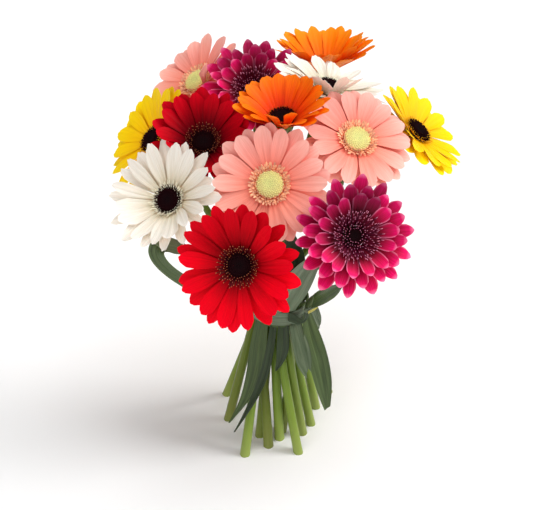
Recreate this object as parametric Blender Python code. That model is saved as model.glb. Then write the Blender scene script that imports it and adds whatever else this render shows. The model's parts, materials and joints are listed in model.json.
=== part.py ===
"""Standing hand-tied bouquet of thirteen cut gerberas, held by a strap leaf.

World frame: +X to the right in the photo, +Y away from the viewer, +Z up, floor at z = 0.
All sizes are in millimetres and are turned into metres when a mesh is made.
"""

import math

import bmesh
import bpy
import numpy as np
from mathutils import Vector
from mathutils.bvhtree import BVHTree

MM = 0.001

# Overall placing: moves the finished bouquet so that its box stands over the origin
SHIFT_X = -8.4
SHIFT_Y = -13.39

# Stems
WAIST_HEIGHT = 126.0
WAIST_X, WAIST_Y = 4.0, 0.0
WAIST_RING = 18.5
STEM_SIDES = 7
CUT_RADIUS = 4.5
WAIST_RADIUS = 3.5
NECK_RADIUS = 2.7
STEM_GAP = 0.7
PATH_LOW = 2
PATH_HIGH = 8
SUB_STEPS = 5
CUP_POINTS = (5.0, 12.5)
CUP_RADII = (6.0, 9.6)
WAIST_LIMIT = 23.0
SETTLE_ROUNDS = 400

# Flower heads
HUB_RADIUS = 9.4
BAND_HEIGHT = 1.1
BAND_STEP = 0.5
PETAL_ROOT_THICKNESS = 1.1
PETAL_TIP_THICKNESS = 0.8
PETAL_STATIONS = (0.0, 0.36, 0.76, 1.0)
PETAL_WIDTHS = (0.0, 0.86, 1.0, 0.5)
SINGLE = dict(petals=14, scales=(0.95, 1.0), lifts=(6.0, -2.0), width=13.0,
              floret=6.5, florets=16)
DOUBLE = dict(petals=14, scales=(0.74, 0.88, 1.0), lifts=(20.0, 8.0, -3.0), width=12.0,
              floret=16.0, florets=24)
CALYX_TOP = 0.3
CALYX_DEPTH = 13.5

# name: style, centre, heading and tilt of the face, petal reach, cup, sway, sway phase, droop,
# cut end on the floor, azimuth of the stem on the waist ring (None with an offset for inner ones)
BLOOMS = {
    "red_front": (SINGLE, (-28, -112, 247), 264, 51, 54, 13, 25, 56, -4, (38, 8), 295),
    "pink_mid": (SINGLE, (-4, -60, 290), 266, 51, 50, 7, 4, 90, -6, (46, 46), 40),
    "magenta_right": (DOUBLE, (63, -88, 259), 284, 50, 51, 8, 6, 90, 0, (50, 30), 352),
    "pink_right": (SINGLE, (67, -14, 304), 300, 30, 48, 8, 6, 90, -12, (6, -26), 323),
    "white_left": (SINGLE, (-86, -54, 271), 243, 50, 53, 20, 14, 285, 4, (33, -16), 240),
    "red_dark": (SINGLE, (-59, -8, 297), 267, 29, 49, 34, 5, 60, 0, (25, -29), 267),
    "orange_mid": (SINGLE, (6, -10, 321), 262, 8, 46, 42, 0, 90, -10, (4, -36), (-2, -8)),
    "yellow_right": (SINGLE, (121, 40, 279), 352, 37, 48, 12, 9, 90, 0, (-45, 27), 95),
    "yellow_left": (SINGLE, (-104, 40, 271), 201, 47, 51, 10, 6, 90, 0, (21, -55), 213),
    "white_back": (SINGLE, (45, 42, 321), 350, 12, 51, 18, 20, 165, -4, (-14, -32), (3, 6)),
    "magenta_back": (DOUBLE, (-18, 74, 300), 266, 36, 49, 16, 6, 90, 0, (-27, -58), 186),
    "pink_back": (SINGLE, (-68, 100, 295), 202, 35, 49, 8, 4, 90, 0, (-6, -46), 158),
    "orange_back": (SINGLE, (44, 125, 296), 92, 12, 53, 40, 4, 270, -8, (-43, -9), 128),
}

# Tie
TIE_LOW, TIE_HIGH = 120.0, 136.0
TIE_THICKNESS = 1.3
TIE_GAP = 0.4
TIE_SIDES = 24
KNOT_AZIMUTH = 305.0
KNOT_HEIGHT = 131.0

# Leaves
LEAF_GAP = 0.6
LEAF_ROUNDS = 90


def radians(*angles):
    return [math.radians(a) for a in angles]


def head_frame(heading, tilt):
    """(right, up, normal) of a flower face that looks along the heading, tilted from upright."""
    h, t = radians(heading, tilt)
    normal = np.array([math.sin(t) * math.cos(h), math.sin(t) * math.sin(h), math.cos(t)])
    up = -np.array([math.cos(t) * math.cos(h), math.cos(t) * math.sin(h), -math.sin(t)])
    return np.cross(up, normal), up, normal


class Piece:
    """One closed mesh under way: its points in millimetres and its faces."""

    def __init__(self, name, slot):
        self.name, self.slot = name, slot
        self.points, self.faces = [], []

    def ring(self, points):
        start = len(self.points)
        self.points.extend(np.asarray(p, float) for p in points)
        return list(range(start, len(self.points)))

    def band(self, low, high, skip=()):
        n = len(low)
        for i in range(n):
            if i not in skip:
                j = (i + 1) % n
                self.faces.append((low[i], low[j], high[j], high[i]))

    def tree(self):
        triangles = []
        for f in self.faces:
            triangles += [(f[0], f[i], f[i + 1]) for i in range(1, len(f) - 1)]
        return BVHTree.FromPolygons([Vector(p) for p in self.points], triangles)

    def make(self):
        mesh = bpy.data.meshes.new(self.name)
        shift = np.array([SHIFT_X, SHIFT_Y, 0.0])
        mesh.from_pydata([tuple((p + shift) * MM) for p in self.points], [], self.faces)
        work = bmesh.new()
        work.from_mesh(mesh)
        bmesh.ops.recalc_face_normals(work, faces=work.faces)
        work.to_mesh(mesh)
        work.free()
        mesh.validate()
        obj = bpy.data.objects.new(self.name, mesh)
        material = bpy.data.materials.get(self.slot) or bpy.data.materials.new(self.slot)
        mesh.materials.append(material)
        bpy.context.scene.collection.objects.link(obj)
        return obj


# Stem paths
def neck_of(bloom):
    """Centre of the neck, where the cup of bracts runs into the stem."""
    style, centre, heading, tilt = bloom[:4]
    normal = head_frame(heading, tilt)[2]
    depth = hub_depth(style) + CALYX_TOP + CALYX_DEPTH
    return np.array(centre, float) - normal * depth, normal


def hub_depth(style):
    layers = len(style["scales"])
    return layers * BAND_HEIGHT + (layers - 1) * BAND_STEP


def first_path(bloom):
    """A straight run from the cut end through the waist, then a curve up to the neck."""
    end, waist = bloom[9], bloom[10]
    base = np.array([end[0], end[1], 0.0])
    if isinstance(waist, tuple):
        offset = waist
    else:
        w = math.radians(waist)
        offset = (WAIST_RING * math.cos(w), WAIST_RING * math.sin(w))
    mid = np.array([WAIST_X + offset[0], WAIST_Y + offset[1], WAIST_HEIGHT])
    neck, normal = neck_of(bloom)
    along = (mid - base) / np.linalg.norm(mid - base)
    reach = np.linalg.norm(neck - mid)
    p1, p2 = mid + along * 0.35 * reach, neck - normal * 0.38 * reach
    low = [base + (mid - base) * i / PATH_LOW for i in range(PATH_LOW)]
    high = []
    for i in range(PATH_HIGH + 1):
        t = i / PATH_HIGH
        u = 1 - t
        high.append(u**3 * mid + 3 * u * u * t * p1 + 3 * u * t * t * p2 + t**3 * neck)
    return np.array(low + high)


def stem_radii(count):
    t = np.linspace(0, 1, count)
    waist = PATH_LOW / (count - 1)
    return np.where(
        t < waist,
        CUT_RADIUS + (WAIST_RADIUS - CUT_RADIUS) * (t / waist) ** 0.8,
        WAIST_RADIUS + (NECK_RADIUS - WAIST_RADIUS) * (t - waist) / (1 - waist),
    )


def settle(paths, necks):
    """Pushes the stems apart where they would run into each other, and keeps them smooth.

    The work is done on close-set points between the stations. Each path is lengthened by its
    cup of bracts, which the other stems keep clear of too.
    """
    paths = np.array(paths)
    stems, count, _ = paths.shape
    rows = (count - 1) * SUB_STEPS + 1
    blend = np.zeros((rows, count))
    for r in range(rows):
        k, t = divmod(r, SUB_STEPS)
        blend[r, k] = 1 - t / SUB_STEPS
        if t:
            blend[r, k + 1] = t / SUB_STEPS
    cups = np.array([[neck + normal * d for d in CUP_POINTS] for neck, normal in necks])
    radii = np.concatenate([blend @ stem_radii(count), CUP_RADII])
    total = len(radii)
    free = np.ones(count)
    free[0] = free[-1] = 0.0
    free[-2] = 0.4
    heard = blend.sum(axis=0)
    owner = np.repeat(np.arange(stems), total - 1)
    same = np.repeat(np.arange(stems), total)[:, None] == owner[None]
    thick = np.tile(np.maximum(radii[:-1], radii[1:]), stems)
    for turn in range(SETTLE_ROUNDS):
        dense = np.concatenate([np.einsum("rc,scx->srx", blend, paths), cups], axis=1)
        starts = dense[:, :-1].reshape(-1, 3)
        steps = (dense[:, 1:] - dense[:, :-1]).reshape(-1, 3)
        points = dense.reshape(-1, 3)
        across = points[:, None, :] - starts[None, :, :]
        t = np.einsum("psx,sx->ps", across, steps) / (steps**2).sum(axis=1)[None]
        away = across - np.clip(t, 0, 1)[:, :, None] * steps[None]
        gap = np.linalg.norm(away, axis=2)
        room = gap - np.tile(radii, stems)[:, None] - thick[None] - STEM_GAP
        room[same] = 1e6
        push = np.zeros_like(points)
        index = np.arange(len(points))
        for other in range(stems):
            part = slice(other * (total - 1), (other + 1) * (total - 1))
            k = room[:, part].argmin(axis=1) + other * (total - 1)
            short = np.maximum(0, -room[index, k])
            way = away[index, k] / np.maximum(gap[index, k], 1e-6)[:, None]
            way[:, 2] *= 0.3
            push += way * short[:, None]
        push = push.reshape(dense.shape)[:, :rows]
        # The tie squeezes the bundle at the waist
        part = dense[:, :rows]
        flat = part[:, :, :2] - np.array([WAIST_X, WAIST_Y])
        far = np.linalg.norm(flat, axis=2)
        over = np.maximum(0, far + radii[None, :rows] - WAIST_LIMIT)
        over *= np.abs(part[:, :, 2] - (TIE_LOW + TIE_HIGH) / 2) < (TIE_HIGH - TIE_LOW) / 2 + 2
        push[:, :, :2] -= flat / np.maximum(far, 1e-6)[:, :, None] * over[:, :, None]
        moved = np.einsum("rc,srx->scx", blend, push) / heard[None, :, None]
        smooth = np.zeros_like(paths)
        smooth[:, 1:-1] = (paths[:, :-2] + paths[:, 2:]) / 2 - paths[:, 1:-1]
        stiff = 0.12 if turn < SETTLE_ROUNDS * 0.6 else 0.01
        paths += (1.4 * moved + stiff * smooth) * free[None, :, None]
        paths[:, PATH_LOW, 2] = WAIST_HEIGHT
    print("least room between stems", round(float(room.min()) + STEM_GAP, 2))
    return paths


def path_frames(path):
    """A sideways and an upward direction at each point of a path, with little twist."""
    tangents = np.gradient(path, axis=0)
    tangents /= np.linalg.norm(tangents, axis=1)[:, None]
    side = np.array([1.0, 0.0, 0.0])
    frames = []
    for t in tangents:
        side = side - t * side.dot(t)
        side /= np.linalg.norm(side)
        frames.append((side.copy(), np.cross(t, side)))
    return frames


def stem_piece(name, bloom, path):
    """Stem and cup of bracts as one closed body, with a flat cut end on the floor."""
    piece = Piece(name + "_stem", "green_stem")
    style, centre, heading, tilt = bloom[:4]
    radii = stem_radii(len(path))
    frames = path_frames(path)
    angles = [2 * math.pi * i / STEM_SIDES for i in range(STEM_SIDES)]
    rings = []
    for k in range(len(path)):
        side, over = frames[k]
        ring = []
        for a in angles:
            offset = radii[k] * (math.cos(a) * side + math.sin(a) * over)
            point = path[k] + offset
            if k == 0:
                along = path[1] - path[0]
                point = point - along * (point[2] / along[2])
            ring.append(point)
        rings.append(piece.ring(ring))
    neck, normal = neck_of(bloom)
    side = frames[-1][0] - normal * normal.dot(frames[-1][0])
    side /= np.linalg.norm(side)
    over = np.cross(normal, side)
    # Cup of bracts: distance above the neck, and radius
    for up, wide in ((4.0, 5.4), (8.8, 8.4), (12.3, 9.6), (13.5, 8.4)):
        ring = []
        for a in angles:
            ring.append(neck + normal * up + wide * (math.cos(a) * side + math.sin(a) * over))
        rings.append(piece.ring(ring))
    for low, high in zip(rings, rings[1:]):
        piece.band(low, high)
    piece.faces.append(tuple(rings[-1]))
    piece.faces.append(tuple(reversed(rings[0])))
    return piece


# Flower heads
def lift_at(bloom, azimuth, layer):
    """How far a petal rises from the plane of the face at its root, in degrees."""
    style, cup, sway, phase = bloom[0], bloom[5], bloom[6], bloom[7]
    return cup + style["lifts"][layer] + sway * math.cos(azimuth - math.radians(phase))


def petal_sections(bloom, layer, column, extra, shorten, grow=0.0):
    """Four corners at each station of one petal, the root ones on the hub's rim."""
    style, centre, heading, tilt, reach = bloom[:5]
    droop = bloom[8]
    right, up, normal = head_frame(heading, tilt)
    centre = np.array(centre, float)
    pitch = math.pi / style["petals"]
    azimuth = column * pitch
    outward = math.cos(azimuth) * right + math.sin(azimuth) * up
    across = -math.sin(azimuth) * right + math.cos(azimuth) * up
    top = -layer * (BAND_HEIGHT + BAND_STEP)
    low = top - BAND_HEIGHT
    length = (reach * style["scales"][layer] - HUB_RADIUS) * shorten
    first = math.radians(lift_at(bloom, azimuth, layer) + extra)
    bend = math.radians(droop)
    radius, height = HUB_RADIUS * math.cos(pitch / 2), (top + low) / 2
    sections, previous = [], 0.0
    for station, share in zip(PETAL_STATIONS, PETAL_WIDTHS):
        angle = first + bend * (station + previous) / 2
        radius += math.cos(angle) * length * (station - previous)
        height += math.sin(angle) * length * (station - previous)
        previous = station
        here = first + bend * station
        if station == 0.0:
            half = HUB_RADIUS * math.sin(pitch / 2) + grow
            thick, over = BAND_HEIGHT / 2 + grow, normal
        else:
            room = math.tan(pitch * 0.9) * radius
            half = min(style["width"] * share / 2, room) + grow
            part = PETAL_TIP_THICKNESS - PETAL_ROOT_THICKNESS
            thick = (PETAL_ROOT_THICKNESS + part * station) / 2 + grow
            over = -math.sin(here) * outward + math.cos(here) * normal
        middle = centre + outward * radius + normal * height
        sections.append([
            middle - across * half - over * thick, middle + across * half - over * thick,
            middle + across * half + over * thick, middle - across * half + over * thick,
        ])
    return sections


def petal_tree(sections):
    points = [Vector(p) for s in sections for p in s]
    faces = [(0, 1, 2), (0, 2, 3)]
    for k in range(len(sections) - 1):
        a = 4 * k
        for i in range(4):
            j = (i + 1) % 4
            faces += [(a + i, a + j, a + 4 + j), (a + i, a + 4 + j, a + 4 + i)]
    a = 4 * (len(sections) - 1)
    faces += [(a, a + 1, a + 2), (a, a + 2, a + 3)]
    return BVHTree.FromPolygons(points, faces)


def bends():
    """Petal bends and lengths to try, the gentlest first."""
    tries = []
    for shorten in (1.0, 0.95, 0.88, 0.78, 0.66, 0.5, 0.35):
        for extra in (0, 3, -3, 6, -6, 10, -10, 15, -15, 21, -21, 28, -28, 36, -36, 45, -45, 56):
            tries.append((abs(extra) / 9 + (1 - shorten) * 8, extra, shorten))
    return [(extra, shorten) for _, extra, shorten in sorted(tries)]


def rays_piece(name, bloom, obstacles, own):
    """All ray petals and their hub as one closed body, each petal bent clear of its neighbours."""
    style = bloom[0]
    piece = Piece(name + "_rays", name.split("_")[0] + "_petals")
    if name == "red_dark":
        piece.slot = "dark_red_petals"
    right, up, normal = head_frame(bloom[2], bloom[3])
    centre = np.array(bloom[1], float)
    columns = 2 * style["petals"]
    pitch = math.pi / style["petals"]
    layers = len(style["scales"])
    levels, openings = [], []
    for layer in range(layers):
        top = -layer * (BAND_HEIGHT + BAND_STEP)
        levels += [top, top - BAND_HEIGHT]
    rings = []
    for level in levels:
        ring = []
        for j in range(columns):
            a = (j - 0.5) * pitch
            ring.append(centre + normal * level
                        + HUB_RADIUS * (math.cos(a) * right + math.sin(a) * up))
        rings.append(piece.ring(ring))
    for k in range(len(levels) - 1):
        taken = ()
        if k % 2 == 0:
            layer = k // 2
            taken = [j for j in range(columns) if j % 2 == layer % 2]
        piece.band(rings[k], rings[k + 1], taken)
    piece.faces.append(tuple(rings[0]))
    piece.faces.append(tuple(reversed(rings[-1])))
    own_trees = {}
    changed = 0
    for layer in range(layers):
        for column in range(layer % 2, columns, 2):
            near = []
            for other in range(layer):
                for side in (-1, 0, 1):
                    near.append(own_trees.get((other, (column + side) % columns)))
            near = [tree for tree in near if tree]
            chosen = None
            start = lift_at(bloom, column * pitch, layer)
            for extra, shorten in bends():
                if extra and not -35 < start + extra < 66:
                    continue
                fat = petal_sections(bloom, layer, column, extra, shorten, 0.3)
                thin = petal_sections(bloom, layer, column, extra, shorten, 0.05)
                beyond = petal_tree([fat[1], fat[2], fat[3]])
                whole = petal_tree(fat)
                slim = petal_tree([thin[1], thin[2], thin[3]])
                if any(whole.overlap(tree) for tree in obstacles):
                    continue
                if any(beyond.overlap(tree) for tree in own):
                    continue
                if any(slim.overlap(tree) for tree in near):
                    continue
                chosen = (extra, shorten)
                break
            if chosen is None:
                print("NO ROOM", name, layer, column)
                chosen = (0, 0.3)
            if chosen != (0, 1.0):
                changed += 1
                if abs(chosen[0]) > 20 or chosen[1] < 0.7:
                    print("bent", name, layer, column, chosen)
            sections = petal_sections(bloom, layer, column, *chosen)
            own_trees[(layer, column)] = petal_tree(
                petal_sections(bloom, layer, column, *chosen, 0.05)[1:])
            a, b = column, (column + 1) % columns
            above, below = rings[2 * layer], rings[2 * layer + 1]
            root = [below[a], below[b], above[b], above[a]]
            for section in sections[1:]:
                nxt = piece.ring(section)
                piece.band(root, nxt)
                root = nxt
            piece.faces.append(tuple(root))
    print(name, "petals bent:", changed)
    return piece


def disc_piece(name, bloom):
    """Centre of disc florets with the fringe of small florets round it."""
    style = bloom[0]
    kind = name.split("_")[0]
    piece = Piece(name + "_disc", "pale_disc" if kind == "pink" else "dark_disc")
    right, up, normal = head_frame(bloom[2], bloom[3])
    centre = np.array(bloom[1], float)
    count = style["florets"]

    def at(a, radius, height):
        return centre + normal * height + radius * (math.cos(a) * right + math.sin(a) * up)

    angles = [2 * math.pi * i / count for i in range(count)]
    rings = [piece.ring([at(a, 8.7, 0.3) for a in angles])]
    fringe = []
    for i, a in enumerate(angles):
        if i % 2:
            fringe.append(at(a, 9.0, 1.7))
            continue
        lift = math.radians(min(80.0, lift_at(bloom, a, 0) + 22.0))
        length = style["floret"] * (1.0 if i % 4 == 0 else 0.8)
        fringe.append(at(a, 8.7 + math.cos(lift) * length, 1.0 + math.sin(lift) * length))
    rings.append(piece.ring(fringe))
    rings.append(piece.ring([at(a, 8.2, 2.6) for a in angles]))
    rings.append(piece.ring([at(a, 5.0, 4.2) for a in angles]))
    for low, high in zip(rings, rings[1:]):
        piece.band(low, high)
    piece.faces.append(tuple(reversed(rings[0])))
    top = piece.ring([at(0, 0, 4.9)])[0]
    for i in range(count):
        piece.faces.append((rings[-1][i], rings[-1][(i + 1) % count], top))
    return piece


# Tie and leaves
def tie_piece(paths):
    """Strap leaf round the stems, just clear of them."""
    piece = Piece("tie_band", "strap_leaf")
    middle = (TIE_LOW + TIE_HIGH) / 2
    low_reach = high_reach = 0.0
    radii = stem_radii(paths.shape[1])
    for path in paths:
        for k in range(len(path) - 1):
            along = path[k + 1] - path[k]
            slope = np.linalg.norm(along) / along[2]
            for t in np.linspace(0, 1, 17):
                p = path[k] + along * t
                reach = math.hypot(p[0] - WAIST_X, p[1] - WAIST_Y) + radii[k] * slope
                if TIE_LOW - 1 < p[2] < middle:
                    low_reach = max(low_reach, reach)
                if middle < p[2] < TIE_HIGH + 1:
                    high_reach = max(high_reach, reach)
    round_off = math.cos(math.pi / TIE_SIDES)
    low, high = (low_reach + TIE_GAP) / round_off, (high_reach + TIE_GAP) / round_off
    rings = []
    for r, z in ((low, TIE_LOW), (low + TIE_THICKNESS, TIE_LOW),
                 (high + TIE_THICKNESS, TIE_HIGH), (high, TIE_HIGH)):
        ring = []
        for i in range(TIE_SIDES):
            a = 2 * math.pi * i / TIE_SIDES
            ring.append((WAIST_X + r * math.cos(a), WAIST_Y + r * math.sin(a), z))
        rings.append(piece.ring(ring))
    for k in range(4):
        piece.band(rings[k], rings[(k + 1) % 4])
    print("tie radius", low, high)
    return piece, (low + TIE_THICKNESS, high + TIE_THICKNESS)


def stem_cloud(paths):
    """Close-set points along the stems, each with the stem's radius there."""
    points, widths = [], []
    radii = stem_radii(paths.shape[1])
    for path in paths:
        for k in range(len(path) - 1):
            for t in np.arange(0, 1, 0.08):
                points.append(path[k] * (1 - t) + path[k + 1] * t)
                widths.append(radii[k] * (1 - t) + radii[k + 1] * t)
    return points, widths


def strap_piece(name, slot, points, cloud, thickness=1.0, steps=2):
    """A leaf blade through (centre, half width vector) stations, smoothed between them.

    Stations too close to a point of the cloud move outwards from the middle of the bouquet.
    """
    piece = Piece(name, slot)
    mid = np.array([p[0] for p in points], float)
    half = np.array([p[1] for p in points], float)

    def smooth(values):
        out = []
        n = len(values)
        for k in range(n - 1):
            p0, p1, p2 = values[max(k - 1, 0)], values[k], values[k + 1]
            p3 = values[min(k + 2, n - 1)]
            for s in range(steps):
                t = s / steps
                out.append(0.5 * (2 * p1 + (p2 - p0) * t + (2 * p0 - 5 * p1 + 4 * p2 - p3) * t * t
                                  + (3 * p1 - p0 - 3 * p2 + p3) * t**3))
        out.append(values[-1])
        return np.array(out)

    mid, half = smooth(mid), smooth(half)
    near, widths = np.array(cloud[0]), np.array(cloud[1])
    shares = np.linspace(-1, 1, 7)
    for turn in range(LEAF_ROUNDS):
        push = np.zeros(len(mid))
        for k in range(len(mid)):
            for share in shares:
                gap = np.linalg.norm(near - (mid[k] + half[k] * share), axis=1) - widths
                push[k] = max(push[k], thickness / 2 + LEAF_GAP - gap.min())
        if push.max() <= 0:
            break
        away = mid[:, :2] - np.array([WAIST_X, WAIST_Y])
        away /= np.linalg.norm(away, axis=1)[:, None]
        mid[:, :2] += away * np.minimum(push, 1.5)[:, None] * 0.7
        if turn < LEAF_ROUNDS - 20:
            mid[1:-1] += ((mid[:-2] + mid[2:]) / 2 - mid[1:-1]) * 0.08
    for m, h in zip(mid, half):
        for share in shares:
            cloud[0].append(m + h * share)
            cloud[1].append(thickness / 2)
    for k in range(len(mid) - 1):
        for share in shares:
            cloud[0].append((mid[k] + mid[k + 1]) / 2 + (half[k] + half[k + 1]) / 2 * share)
            cloud[1].append(thickness / 2)
    along = np.gradient(mid, axis=0)
    rings = []
    for m, h, t in zip(mid, half, along):
        face = np.cross(t, h)
        face *= thickness / 2 / np.linalg.norm(face)
        rings.append(piece.ring([m - h - face, m + h - face, m + h + face, m - h + face]))
    for low, high in zip(rings, rings[1:]):
        piece.band(low, high)
    piece.faces.append(tuple(rings[-1]))
    piece.faces.append(tuple(reversed(rings[0])))
    return piece


def round_tie(tie_radii, angle, gap, height):
    """A point outside the tie, by its azimuth, its distance from the tie and its height."""
    a = math.radians(angle)
    share = min(1.0, max(0.0, (height - TIE_LOW) / (TIE_HIGH - TIE_LOW)))
    radius = tie_radii[0] + (tie_radii[1] - tie_radii[0]) * share + gap
    return np.array((WAIST_X + radius * math.cos(a), WAIST_Y + radius * math.sin(a), height))


def leaf_pieces(tie_radii, cloud):
    """Leaves: each station is a centre and the vector from it to one edge of the blade."""
    leaves = []
    # Loop at the left, from the tie out and up, folded over at the top, back to the middle
    leaves.append(strap_piece("leaf_loop", "strap_leaf", [
        (round_tie(tie_radii, 215, 1.2, 132), (0.5, -1.0, 6.0)),
        ((-46, -38, 158), (2.5, -2.5, 6.0)),
        ((-79, -42, 177), (4.0, -2.5, 6.2)),
        ((-101, -42, 196), (6.5, -3.0, 4.0)),
        ((-109, -38, 212), (7.0, -3.0, 1.0)),
        ((-101, -34, 219), (5.5, -3.0, -4.0)),
        ((-89, -27, 213), (2.0, -4.0, -6.0)),
        ((-73, -19, 197), (1.0, -4.0, -6.0)),
    ], cloud))
    # Dark leaves tucked in among the stems behind the front flowers
    leaves.append(strap_piece("leaf_inner", "dark_leaf", [
        ((16, -21, 138), (4.5, 0.5, 0.0)),
        ((15, -27, 160), (7.5, 0.5, 0.0)),
        ((15, -36, 186), (10.0, 1.0, -1.0)),
        ((15, -43, 211), (10.0, 1.0, -2.0)),
        ((14, -47, 234), (4.0, 0.5, -1.0)),
    ], cloud))
    leaves.append(strap_piece("leaf_side", "dark_leaf", [
        ((-13, -17, 138), (3.5, -4.5, 0.0)),
        ((-24, -27, 163), (6.0, -6.0, 1.0)),
        ((-42, -38, 192), (7.5, -7.0, 2.0)),
        ((-55, -45, 220), (7.0, -6.0, 2.0)),
        ((-60, -46, 244), (2.5, -2.0, 1.0)),
    ], cloud))
    # Broad pale leaf between the red and the magenta flower, and the dark fold under it
    leaves.append(strap_piece("leaf_broad", "pale_leaf", [
        (round_tie(tie_radii, 278, 1.4, 134), (10.0, 1.0, 3.0)),
        ((7, -38, 156), (11.5, 1.0, -1.0)),
        ((15, -52, 182), (11.5, 2.0, -5.0)),
        ((25, -60, 205), (9.0, 2.0, -5.0)),
        ((34, -61, 221), (5.0, 1.0, -3.0)),
    ], cloud))
    leaves.append(strap_piece("leaf_fold", "strap_leaf", [
        (round_tie(tie_radii, 328, 1.2, 138), (2.0, 1.0, 5.0)),
        ((29, -29, 150), (1.0, -3.0, 8.0)),
        ((38, -37, 159), (-1.0, -5.0, 9.5)),
        ((48, -38, 167), (-3.0, -5.0, 8.0)),
        ((57, -36, 174), (-2.0, -2.0, 2.5)),
    ], cloud))
    # Leaf ends under the tie
    leaves.append(strap_piece("tail_right", "strap_leaf", [
        (round_tie(tie_radii, 326, 1.2, 128), (3.2, 4.2, 0.8)),
        ((33, -27, 107), (7.5, 3.5, 2.0)),
        ((39, -33, 85), (8.0, 3.5, 3.0)),
        ((44, -38, 62), (6.5, 3.0, 3.0)),
        ((47, -41, 40), (3.0, 1.5, 1.5)),
    ], cloud))
    leaves.append(strap_piece("tail_notched", "pale_leaf", [
        (round_tie(tie_radii, 300, 1.2, 122), (5.0, 2.5, 0.0)),
        ((21, -34, 103), (6.5, 2.5, 1.5)),
        ((26, -39, 88), (6.0, 2.5, 2.5)),
        ((30, -41, 76), (2.2, 1.0, 2.5)),
    ], cloud))
    leaves.append(strap_piece("tail_small", "pale_leaf", [
        (round_tie(tie_radii, 352, 1.2, 131), (2.0, 3.0, 3.0)),
        ((34, -5, 121), (2.0, 3.0, 5.0)),
        ((40, -8, 108), (2.0, 3.0, 4.5)),
    ], cloud))
    leaves.append(strap_piece("tail_left", "strap_leaf", [
        (round_tie(tie_radii, 233, 1.2, 122), (5.5, -3.6, 0.0)),
        ((-15, -30, 100), (7.0, -4.0, 1.0)),
        ((-18, -37, 75), (7.0, -4.0, 2.5)),
        ((-27, -43, 50), (5.0, -2.5, 3.5)),
        ((-41, -47, 28), (1.2, -0.6, 1.4)),
    ], cloud))
    leaves.append(strap_piece("tail_dark", "dark_leaf", [
        (round_tie(tie_radii, 258, 1.2, 121), (3.0, 0.5, 0.0)),
        ((-3, -39, 98), (4.0, -0.5, 1.5)),
        ((-8, -47, 74), (4.5, -1.0, 3.0)),
        ((-21, -56, 50), (3.5, -1.5, 3.0)),
        ((-36, -63, 31), (1.2, -0.5, 1.2)),
    ], cloud))
    leaves.append(strap_piece("tail_middle", "dark_leaf", [
        (round_tie(tie_radii, 277, 1.2, 122), (4.5, 0.5, 0.0)),
        ((7, -33, 105), (5.5, 0.5, 0.0)),
        ((5, -37, 92), (4.0, 0.5, 0.5)),
        ((1, -40, 82), (1.5, 0.2, 0.3)),
    ], cloud))
    return leaves


def knot_piece(tie_radii):
    """Dark loop of the knot, on the right front of the tie."""
    centre = round_tie(tie_radii, KNOT_AZIMUTH, 4.8 + 0.4, KNOT_HEIGHT)
    a = math.radians(KNOT_AZIMUTH)
    outward = np.array([math.cos(a), math.sin(a), 0.0])
    across = np.array([-math.sin(a), math.cos(a), 0.0])
    piece = Piece("tie_knot", "dark_leaf")
    rings = []
    for up, wide, deep in ((-5.5, 2.5, 2.0), (-3.0, 6.0, 4.0), (0.5, 7.0, 4.8),
                           (4.0, 5.5, 4.0), (6.5, 2.5, 2.2)):
        ring = []
        for i in range(10):
            t = 2 * math.pi * i / 10
            ring.append(centre + across * wide * math.cos(t) + outward * deep * math.sin(t)
                        + np.array([0, 0, up]))
        rings.append(piece.ring(ring))
    for low, high in zip(rings, rings[1:]):
        piece.band(low, high)
    piece.faces.append(tuple(rings[-1]))
    piece.faces.append(tuple(reversed(rings[0])))
    return piece


def main():
    for obj in list(bpy.data.objects):
        bpy.data.objects.remove(obj)
    paths = settle([first_path(b) for b in BLOOMS.values()],
                   [neck_of(b) for b in BLOOMS.values()])
    pieces = [stem_piece(name, bloom, path)
              for (name, bloom), path in zip(BLOOMS.items(), paths)]
    tie, tie_radii = tie_piece(paths)
    pieces.append(tie)
    pieces.append(knot_piece(tie_radii))
    cloud = stem_cloud(paths)
    for height in np.arange(TIE_LOW, TIE_HIGH + 0.1, 2.5):
        for angle in range(0, 360, 2):
            cloud[0].append(round_tie(tie_radii, angle, 0.0, height))
            cloud[1].append(0.0)
    for point in pieces[-1].points:
        cloud[0].append(point)
        cloud[1].append(0.5)
    pieces.extend(leaf_pieces(tie_radii, cloud))
    trees = {p.name: p.tree() for p in pieces}
    names = list(trees)
    for i, a in enumerate(names):
        for b in names[i + 1:]:
            if trees[a].overlap(trees[b]):
                print("CLASH", a, b)
    for name, bloom in BLOOMS.items():
        disc = disc_piece(name, bloom)
        obstacles = [tree for key, tree in trees.items() if key != name + "_stem"]
        own = [trees[name + "_stem"], disc.tree()]
        rays = rays_piece(name, bloom, obstacles, own)
        pieces += [disc, rays]
        trees[disc.name], trees[rays.name] = disc.tree(), rays.tree()
        hit = [key for key in trees if key not in (disc.name, rays.name)
               and (trees[key].overlap(trees[rays.name]) or trees[key].overlap(trees[disc.name]))]
        if hit or trees[disc.name].overlap(trees[rays.name]):
            print("CLASH", name, hit, bool(trees[disc.name].overlap(trees[rays.name])))
    total = 0
    low, high = np.full(3, 1e9), np.full(3, -1e9)
    for piece in pieces:
        obj = piece.make()
        total += sum(len(p.vertices) - 2 for p in obj.data.polygons)
        points = np.array(piece.points)
        low, high = np.minimum(low, points.min(axis=0)), np.maximum(high, points.max(axis=0))
    print("pieces", len(pieces), "triangles", total, "box", low.round(1), high.round(1))


main()
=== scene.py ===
"""Looks of the hand-tied gerbera bouquet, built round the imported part.

Lengths are in millimetres in the bouquet's own layout and are turned into metres when a mesh
is made. Layout axes: +X to the right in the photo, +Y away from the viewer, +Z up.
"""

import json
import math

import bpy
import numpy as np
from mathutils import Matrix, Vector
from mathutils.kdtree import KDTree

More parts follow.
